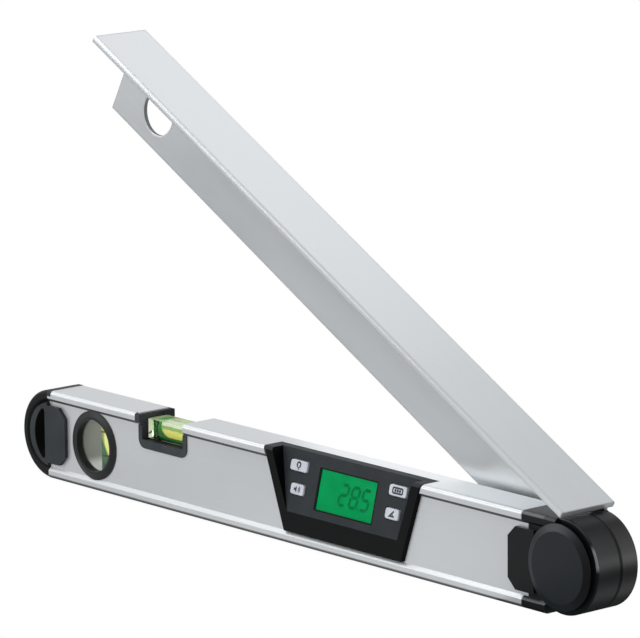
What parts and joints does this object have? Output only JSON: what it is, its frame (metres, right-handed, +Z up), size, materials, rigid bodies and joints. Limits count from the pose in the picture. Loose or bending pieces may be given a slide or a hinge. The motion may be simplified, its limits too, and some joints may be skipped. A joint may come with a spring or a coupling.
{
  "type": "digital angle finder level",
  "caption": "Digital angle finder: aluminium spirit level with level and plumb vials, a tilted display with push buttons, and an aluminium arm that swings on a friction hub.",
  "frame": {"origin": "centre of the level's flat sole", "axes": "+X along the level towards the hub, -Y the front with the display, +Z up"},
  "size_m": [0.4464, 0.035, 0.2463],
  "materials": {
    "satin_aluminium": "extruded, lightly brushed, clear anodised",
    "black_housing": "moulded, fine grain",
    "sleeve_grey": "moulded, fine grain",
    "black_trim": "moulded, smooth",
    "clear_acrylic": "polished clear",
    "vial_liquid": "clear yellow green liquid",
    "vial_air": "air in liquid",
    "ring_ink": "printed black",
    "vial_stopper": "moulded stopper",
    "lcd_green": "liquid crystal glass, green",
    "light_guide": "milky light guide",
    "circuit_board": "solder mask",
    "switch_body": "moulded",
    "silicone": "soft moulded",
    "key_grey": "pale, satin, printed",
    "screw_steel": "zinc plated",
    "spring_steel": "plain",
    "cell_wrap": "film wrapped",
    "bush_bronze": "sintered"
  },
  "bodies": {
    "level": {"base_profile": "satin_aluminium", "end_cap": "black_housing", "plumb_bezel_front": "black_trim", "plumb_bezel_rear": "black_trim", "plumb_lens_front": "clear_acrylic", "plumb_lens_rear": "clear_acrylic", "plumb_sleeve": "sleeve_grey", "plumb_vial_tube": "clear_acrylic", "plumb_vial_fluid": "vial_liquid", "plumb_vial_rings": "ring_ink", "level_saddle": "black_housing", "level_vial_block": "clear_acrylic", "level_vial_fluid": "vial_liquid", "level_vial_rings": "ring_ink", "vial_plugs": "vial_stopper", "display_housing": "black_housing", "display_window": "clear_acrylic", "lcd_glass": "lcd_green", "backlight": "light_guide", "main_board": "circuit_board", "push_switches": "switch_body", "key_mats": "silicone", "board_screws": "screw_steel", "battery_tray": "black_housing", "battery_cells": "cell_wrap", "battery_contacts": "spring_steel", "battery_door": "black_housing", "hub_housing": "black_housing", "hub_nose": "black_housing", "pivot_bush": "bush_bronze", "sensor_board": "circuit_board", "tongue_screws": "screw_steel"},
    "arm": {"arm_profile": "satin_aluminium", "arm_hub": "black_housing", "arm_hub_cover": "black_trim", "arm_screws": "screw_steel", "pivot_shaft": "spring_steel", "friction_washer": "bush_bronze", "disc_spring": "spring_steel", "shaft_nut": "spring_steel", "sensor_disc": "spring_steel"},
    "button_light": {"button_light": "key_grey"},
    "button_sound": {"button_sound": "key_grey"},
    "button_hold": {"button_hold": "key_grey"},
    "button_mode": {"button_mode": "key_grey"},
    "level_bubble": {"level_bubble": "vial_air"},
    "plumb_bubble": {"plumb_bubble": "vial_air"}
  },
  "joints": [
    {"name": "arm_hinge", "type": "hinge", "parent": "level", "child": "arm", "pos_m": [0.21325, 0, 0.0251], "axis": [0, 1, 0], "range_deg": [-28.5, 191.5]},
    {"name": "button_light_press", "type": "slide", "parent": "level", "child": "button_light", "axis": [0, 0.9718, -0.236], "range_m": [0, 0.0008], "stiffness_N_per_m": 400},
    {"name": "button_sound_press", "type": "slide", "parent": "level", "child": "button_sound", "axis": [0, 0.9718, -0.236], "range_m": [0, 0.0008], "stiffness_N_per_m": 400},
    {"name": "button_hold_press", "type": "slide", "parent": "level", "child": "button_hold", "axis": [0, 0.9718, -0.236], "range_m": [0, 0.0008], "stiffness_N_per_m": 400},
    {"name": "button_mode_press", "type": "slide", "parent": "level", "child": "button_mode", "axis": [0, 0.9718, -0.236], "range_m": [0, 0.0008], "stiffness_N_per_m": 400},
    {"name": "level_bubble_run", "type": "slide", "parent": "level", "child": "level_bubble", "axis": [1, 0, 0], "range_m": [-0.0038, 0.0038], "stiffness_N_per_m": 1},
    {"name": "plumb_bubble_run", "type": "slide", "parent": "level", "child": "plumb_bubble", "axis": [0, 0, 1], "range_m": [-0.014, 0], "stiffness_N_per_m": 2, "springref_m": 0.01}
  ]
}
